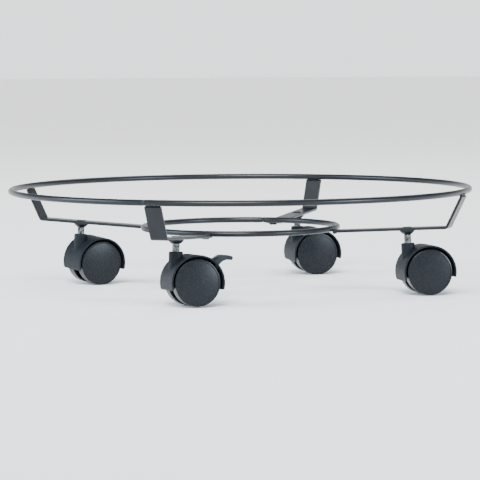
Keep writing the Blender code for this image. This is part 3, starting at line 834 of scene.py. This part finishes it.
def caster_body_mesh(braked):
    """Hood, web and socket in one moulding."""
    boss = combine("boss", socket_boss(), cut=[wheel_well(1), wheel_well(-1)])
    bores = [stem_bore(), cross_bore(AXLE_BORE)]
    if braked:
        bores += brake_slots() + [cross_bore(PIN_BORE, (PIVOT.x, PIVOT.z))]
    name = "caster_body_braked" if braked else "caster_body"
    mesh = combine(name, hood_shell(), joined=[web_slab(), boss], cut=bores)
    mesh.transform(Matrix.Translation((TRAIL, 0, WHEEL_RADIUS)))
    return mesh


def tab_point(distance):
    """A point on the middle line of the tab, and its heading, at a distance from its root."""
    bend_length = TAB_BEND_RADIUS * (TAB_RISE + TAB_DROOP)
    rise = Vector((math.cos(TAB_RISE), math.sin(TAB_RISE)))
    if distance <= TAB_RUN:
        return TAB_ROOT + rise * distance, TAB_RISE
    centre = TAB_ROOT + rise * TAB_RUN + Vector((rise.y, -rise.x)) * TAB_BEND_RADIUS
    heading = TAB_RISE - min(distance - TAB_RUN, bend_length) / TAB_BEND_RADIUS
    point = centre + Vector((-math.sin(heading), math.cos(heading))) * TAB_BEND_RADIUS
    tail = max(distance - TAB_RUN - bend_length, 0.0)
    return point + Vector((math.cos(heading), math.sin(heading))) * tail, heading


def tab_outline():
    """Side view of the tab: ribbed on top near its root, tapering along the bend to a blunt tip."""
    length = TAB_RUN + TAB_BEND_RADIUS * (TAB_RISE + TAB_DROOP) + TAB_TAIL
    upper = []
    lower = []
    for step in range(TAB_STEPS + 1):
        distance = length * step / TAB_STEPS
        point, heading = tab_point(distance)
        past_run = max(distance - TAB_RUN, 0.0) / (length - TAB_RUN)
        half = TAB_HALF_THICKNESS + (TAB_END_HALF_THICKNESS - TAB_HALF_THICKNESS) * past_run
        across = Vector((-math.sin(heading), math.cos(heading)))
        phase = (distance - RIB_START) / RIB_SPACING
        ribbed = 0.0 < phase < RIB_COUNT
        rib = RIB_HEIGHT * (math.sin(math.pi * phase) ** 2 - 0.5) if ribbed else 0.0
        upper.append(tuple(point + across * (half + rib)))
        lower.append(tuple(point - across * half))
    end, heading = tab_point(length)
    ahead = Vector((math.cos(heading), math.sin(heading)))
    across = Vector((-ahead.y, ahead.x))
    tip = []
    for step in range(1, TAB_TIP_STEPS):
        turn = math.pi * step / TAB_TIP_STEPS - math.pi / 2
        tip.append(tuple(end + ahead * TAB_TIP * math.cos(turn)
                         + across * TAB_END_HALF_THICKNESS * math.sin(turn)))
    return lower + tip + upper[::-1]


def brake_lever_mesh():
    """The tab that a foot presses, and the narrow hub that turns on the brake pin."""
    tab = extruded(tab_outline(), TAB_HALF_WIDTH)
    soften(tab, TAB_EDGE, math.radians(80.0), 3)
    centre = (PIVOT.x, PIVOT.z)
    neck = arc(centre, LEVER_HUB_RADIUS, *NECK_ANGLES, NECK_STEPS)
    hub = extruded(neck + [NECK_LOWER, NECK_UPPER], LEVER_HUB_HALF_WIDTH)
    mesh = combine("brake_lever", finished(tab, "tab"), joined=[finished(hub, "hub")],
                   cut=[cross_bore(PIN_BORE, centre)])
    mesh.transform(Matrix.Translation((TRAIL, 0, WHEEL_RADIUS)))
    return mesh


# ---------------------------------------------------------------- the caddy

def build_frame():
    """The welded part: rings, arms, welds, nuts and stems."""
    outer = ring_mesh("outer_ring_rod", OUTER_RING, OUTER_SEAM_ANGLE, OUTER_RING_STEPS)
    inner = ring_mesh("inner_ring_rod", INNER_RING, INNER_SEAM_ANGLE, INNER_RING_STEPS)
    place("outer_ring_rod", outer, Matrix.Identity(4), "frame", "powder_coat", ["outer_ring"])
    place("inner_ring_rod", inner, Matrix.Identity(4), "frame", "powder_coat", ["inner_ring"])
    arm = arm_mesh()
    nut = weld_nut_mesh()
    stem = stem_mesh()
    for index, side in enumerate(SIDES):
        turn = Matrix.Rotation(math.radians(90.0) * index, 4, "Z")
        place(f"arm_bar_{side}", arm, turn, "frame", "powder_coat", [f"arm_{side}"])
        welds = weld_mesh(f"welds_{side}", FIRST_WELD_SEED + index)
        place(f"welds_{side}", welds, turn, "frame", "powder_coat")
        place(f"flange_nut_{side}", nut, arm_matrix(side), "frame", "powder_coat",
              [f"weld_nut_{side}"])
        place(f"stem_{side}", stem, caster_matrix(side), "frame", "zinc_steel",
              [f"caster_stem_{side}"])


def build_casters():
    """Four casters alike, but for the slots and the lever of the one with a brake."""
    wheel = wheel_mesh()
    plain = caster_body_mesh(braked=False)
    braked = caster_body_mesh(braked=True)
    for side in SIDES:
        matrix = caster_matrix(side)
        place(f"hood_{side}", braked if side == BRAKED else plain, matrix, f"caster_{side}",
              "body_plastic", [f"caster_body_{side}"])
        axle = matrix @ Matrix.Translation((TRAIL, 0, WHEEL_RADIUS))
        for letter, half_turn in (("a", math.pi), ("b", 0.0)):
            node = f"wheel_{side}_{letter}"
            place(f"disc_{side}_{letter}", wheel, axle @ Matrix.Rotation(half_turn, 4, "Z"), node,
                  "wheel_plastic", [node])
    place("lever", brake_lever_mesh(), caster_matrix(BRAKED), "brake_lever", "lever_plastic",
          ["brake_lever"])


def dress_kept_nodes():
    """The hidden steel pieces keep their CAD shape and get their material."""
    for node, item in frame["nodes"].items():
        for start, slot_name in (("retaining_ring", "spring_steel"), ("axle", "axle_steel"),
                                 ("brake_pin", "axle_steel")):
            if node.startswith(start):
                item.data.materials.clear()
                item.data.materials.append(MATERIALS[slot_name])


# ---------------------------------------------------------------- stage, lights and camera

CAMERA_TURN = math.radians(20.407)
CAMERA_DISTANCE = 2193.2 * MM
CAMERA_SIDE = -3.4 * MM
CAMERA_HEIGHT = 217.1 * MM
CAMERA_YAW = math.radians(0.079)
CAMERA_PITCH = math.radians(4.537)
CAMERA_ROLL = math.radians(-0.336)
CAMERA_LENS = 190.35
CAMERA_REACH = 100.0

HORIZON = (0.95, 0.98, 1.0)
HORIZON_TOP = 0.08
CEILING = (0.11, 0.12, 0.13)
CEILING_START = 0.36
DOME_STRENGTH = 1.9

FLOOR_RADIUS = 12.0
FLOOR_COLOUR = (0.9, 0.9, 0.9)
FLOOR_ROUGHNESS = 0.9
FLOOR_GLOSS = 0.1
LIGHT_AIM = Vector((0.0, 0.0, 0.05))


def from_camera_side(x, y, z):
    """A place given to the right of the camera's line, away from the camera, and up."""
    return Matrix.Rotation(CAMERA_TURN, 4, "Z") @ Vector((x, y, z))


def build_camera():
    """A long lens a little above the rings, turned round the caddy."""
    camera = bpy.data.objects.new("camera", bpy.data.cameras.new("camera"))
    bpy.context.scene.collection.objects.link(camera)
    camera.data.lens = CAMERA_LENS
    camera.data.clip_end = CAMERA_REACH
    look = (Matrix.Rotation(-CAMERA_YAW, 4, "Z")
            @ Matrix.Rotation(math.pi / 2 - CAMERA_PITCH, 4, "X")
            @ Matrix.Rotation(CAMERA_ROLL, 4, "Z"))
    stand = Matrix.Translation((CAMERA_SIDE, -CAMERA_DISTANCE, CAMERA_HEIGHT))
    camera.matrix_world = Matrix.Rotation(CAMERA_TURN, 4, "Z") @ stand @ look
    bpy.context.scene.camera = camera


def build_floor():
    """A wide, plain, matt floor."""
    bm = bmesh.new()
    bmesh.ops.create_circle(bm, cap_ends=True, radius=FLOOR_RADIUS, segments=64)
    floor = bpy.data.objects.new("floor", finished(bm, "floor"))
    bpy.context.scene.collection.objects.link(floor)
    surface = bpy.data.materials.new("floor")
    surface.use_nodes = True
    shader = surface.node_tree.nodes["Principled BSDF"]
    shader.inputs["Base Color"].default_value = (*FLOOR_COLOUR, 1.0)
    shader.inputs["Roughness"].default_value = FLOOR_ROUGHNESS
    shader.inputs["Specular IOR Level"].default_value = FLOOR_GLOSS
    floor.data.materials.append(surface)


def add_softbox(name, turn, height, distance, size, power, tint=(1.0, 1.0, 1.0)):
    """A soft square light that faces the caddy, turned round it from the camera's side."""
    light = bpy.data.objects.new(name, bpy.data.lights.new(name, "AREA"))
    bpy.context.scene.collection.objects.link(light)
    light.data.shape = "SQUARE"
    light.data.size = size
    light.data.energy = power
    light.data.color = tint
    turn = math.radians(turn)
    height = math.radians(height)
    reach = distance * math.cos(height)
    light.location = LIGHT_AIM + from_camera_side(
        reach * math.sin(turn), -reach * math.cos(turn), distance * math.sin(height))
    light.rotation_euler = (LIGHT_AIM - light.location).to_track_quat("-Z", "Y").to_euler()


def build_world():
    """A studio dome: bright round the horizon, dim overhead, the same all the way round."""
    world = bpy.data.worlds.new("studio")
    bpy.context.scene.world = world
    world.use_nodes = True
    tree = world.node_tree
    background = tree.nodes["Background"]
    direction = tree.nodes.new("ShaderNodeTexCoord").outputs["Generated"]
    split = tree.nodes.new("ShaderNodeSeparateXYZ")
    ramp = tree.nodes.new("ShaderNodeValToRGB")
    ramp.color_ramp.interpolation = "EASE"
    ramp.color_ramp.elements[0].position = HORIZON_TOP
    ramp.color_ramp.elements[0].color = (*HORIZON, 1.0)
    ramp.color_ramp.elements[1].position = CEILING_START
    ramp.color_ramp.elements[1].color = (*CEILING, 1.0)
    tree.links.new(direction, split.inputs["Vector"])
    tree.links.new(split.outputs["Z"], ramp.inputs["Fac"])
    tree.links.new(ramp.outputs["Color"], background.inputs["Color"])
    background.inputs["Strength"].default_value = DOME_STRENGTH


def add_sun(name, turn, height, spread, power):
    """Even light from one side of the sky, as from a large softbox far away."""
    light = bpy.data.objects.new(name, bpy.data.lights.new(name, "SUN"))
    bpy.context.scene.collection.objects.link(light)
    light.data.energy = power
    light.data.angle = math.radians(spread)
    turn = math.radians(turn)
    height = math.radians(height)
    reach = math.cos(height)
    towards = from_camera_side(reach * math.sin(turn), -reach * math.cos(turn), math.sin(height))
    light.rotation_euler = towards.to_track_quat("Z", "Y").to_euler()


def build_lights():
    """Angles are in degrees, distances and sizes in metres."""
    add_sun("top_light", turn=-10, height=42, spread=34, power=7.0)
    add_softbox("left_softbox", turn=-80, height=22, distance=2.0, size=1.2, power=54.0,
                tint=(0.72, 0.87, 1.0))
    add_softbox("right_softbox", turn=54, height=12, distance=1.9, size=0.6, power=40.0,
                tint=(0.74, 0.87, 1.0))
    add_softbox("back_softbox", turn=165, height=55, distance=2.4, size=1.4, power=26.0)


build_frame()
build_casters()
dress_kept_nodes()
build_floor()
build_world()
build_lights()
build_camera()
